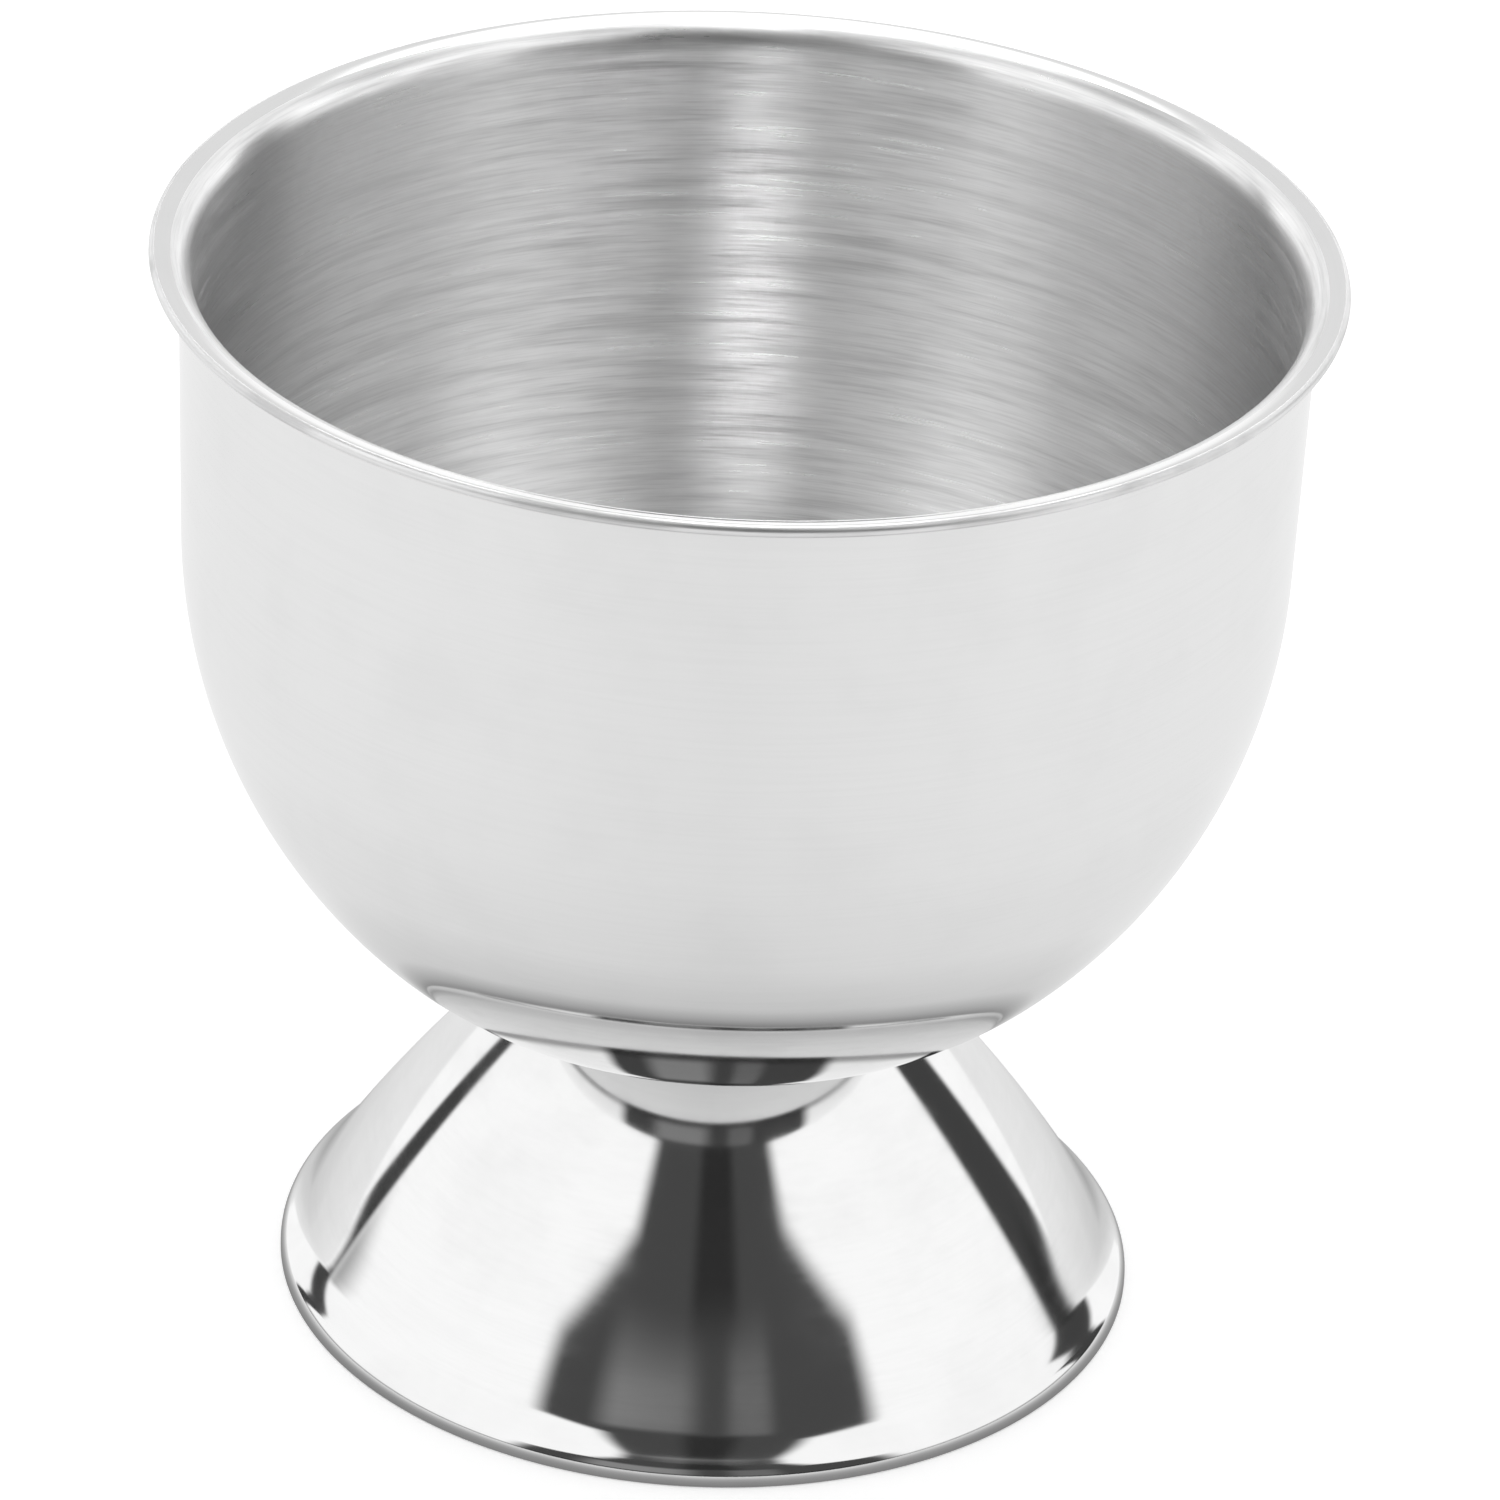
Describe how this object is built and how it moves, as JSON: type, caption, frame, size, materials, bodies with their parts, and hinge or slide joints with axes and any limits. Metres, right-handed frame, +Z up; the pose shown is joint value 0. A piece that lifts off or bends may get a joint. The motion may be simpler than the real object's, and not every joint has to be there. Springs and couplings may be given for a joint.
{
  "type": "egg cup",
  "caption": "Footed steel egg cup: a deep round bowl with a turned-out lip on a hollow, gently swelled conical foot that spreads to a low upright rim; polished outside, brushed inside.",
  "frame": {"origin": "centre of the ring on which the foot stands, in the plane of the table", "axes": "+Z up, along the cup's axis of revolution; +X and +Y level, and interchangeable because the cup is round"},
  "size_m": [0.05, 0.05, 0.0492],
  "materials": {
    "bowl_steel": "stainless steel, mirror-polished outside and on the lip, finely brushed in rings inside",
    "foot_steel": "stainless steel, mirror-polished outside"
  },
  "bodies": {
    "root": {"bowl": "bowl_steel", "foot": "foot_steel"}
  },
  "joints": []
}
